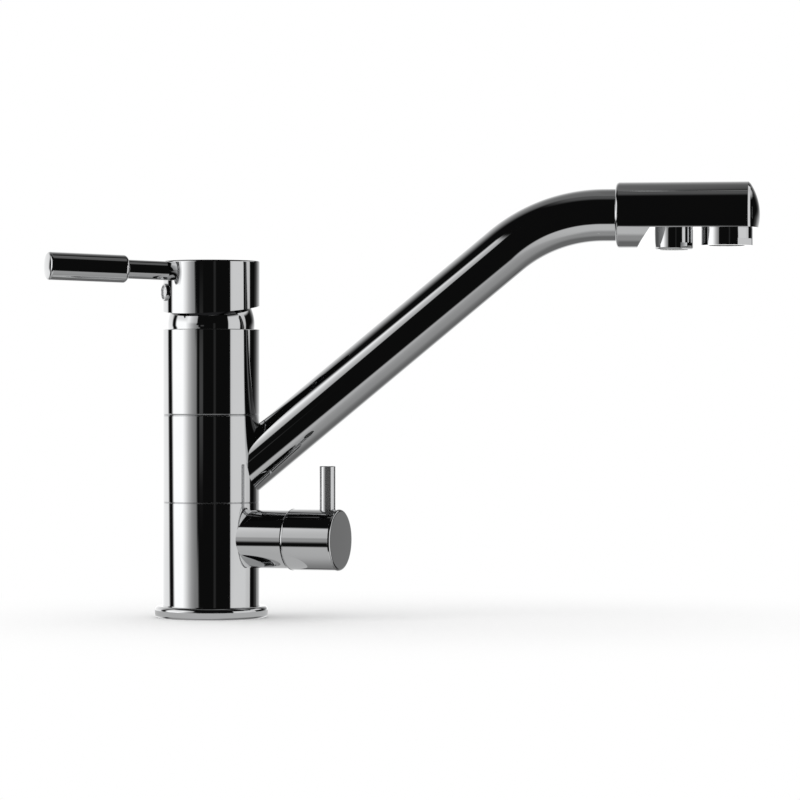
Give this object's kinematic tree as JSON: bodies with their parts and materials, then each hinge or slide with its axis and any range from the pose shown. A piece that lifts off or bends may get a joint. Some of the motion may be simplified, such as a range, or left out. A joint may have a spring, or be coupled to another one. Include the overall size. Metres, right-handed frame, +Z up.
{
  "type": "three-way kitchen tap with drinking water filter outlet",
  "caption": "Chromed single-lever kitchen mixer with a swivelling angled spout and a side valve that sends filtered drinking water to its own nozzle in the spout head.",
  "frame": {"origin": "tap axis at the worktop, in the mouth of the fixing stud's hole", "axes": "+Z up along the tap axis, +X along the filter valve branch"},
  "size_m": [0.308, 0.1344, 0.2002],
  "materials": {
    "chrome": "mirror-polished chrome plating on brass",
    "chromed_body": "brass casting with polished chrome plating outside",
    "brass": "turned brass",
    "steel": "bright turned steel",
    "rubber": "moulded rubber",
    "slip_plastic": "low-friction plastic ring",
    "ceramic": "lapped alumina ceramic",
    "white_plastic": "moulded plastic",
    "grey_plastic": "moulded plastic",
    "index_plastic": "plain moulded plug"
  },
  "bodies": {
    "body": {"base_flange": "chrome", "base_seal": "rubber", "body_casting": "chromed_body", "upper_sleeve": "chrome", "lower_slip_ring": "slip_plastic", "upper_slip_ring": "slip_plastic", "swivel_o_rings": "rubber", "cartridge_housing": "white_plastic", "cartridge_base": "grey_plastic", "cartridge_seals": "rubber", "fixed_disc": "ceramic", "cartridge_nut": "brass", "dome_cover": "chrome", "valve_bonnet": "brass", "bonnet_o_ring": "rubber", "valve_seat_seal": "rubber", "valve_seat_disc": "ceramic"},
    "spout": {"spout_collar": "chrome", "spout_tube": "chrome", "filter_line": "white_plastic", "spout_head": "chrome", "head_end_cap": "chrome", "aerator_housing": "chrome", "aerator_insert": "white_plastic", "aerator_washer": "rubber", "filter_nozzle": "chrome", "nozzle_insert": "white_plastic", "nozzle_washer": "rubber"},
    "cartridge_rotor": {"cartridge_rotor": "white_plastic", "pivot_pin": "steel"},
    "handle": {"lever_stem": "steel", "handle_cap": "chrome", "handle_set_screw": "steel", "index_plug": "index_plastic", "lever_rod": "chrome", "lever_grip": "chrome"},
    "mixing_disc": {"moving_disc": "ceramic", "disc_carrier": "grey_plastic"},
    "filter_handle": {"valve_spindle": "brass", "spindle_o_ring": "rubber", "valve_rotor_disc": "ceramic", "filter_knob": "chrome", "filter_pin": "chrome", "knob_set_screw": "steel"}
  },
  "joints": [
    {"name": "spout_swivel", "type": "hinge", "parent": "body", "child": "spout", "pos_m": [0, 0, 0.0735], "axis": [0, 0, 1], "continuous": true},
    {"name": "handle_turn", "type": "hinge", "parent": "body", "child": "cartridge_rotor", "pos_m": [0, 0, 0.135], "axis": [0, 0, 1], "range_deg": [-45, 45]},
    {"name": "handle_lift", "type": "hinge", "parent": "cartridge_rotor", "child": "handle", "pos_m": [0, 0, 0.135], "axis": [-0.6947, 0.7193, 0], "range_deg": [0, 25]},
    {"name": "disc_slide", "type": "slide", "parent": "cartridge_rotor", "child": "mixing_disc", "axis": [-0.7193, -0.6947, 0], "range_m": [0, 0.0052]},
    {"name": "filter_turn", "type": "hinge", "parent": "body", "child": "filter_handle", "pos_m": [0.05, 0, 0.0366], "axis": [1, 0, 0], "range_deg": [0, 90]}
  ],
  "couplings": [
    {"joint": "disc_slide", "follows": "handle_lift", "m_per_rad": 0.01162}
  ]
}
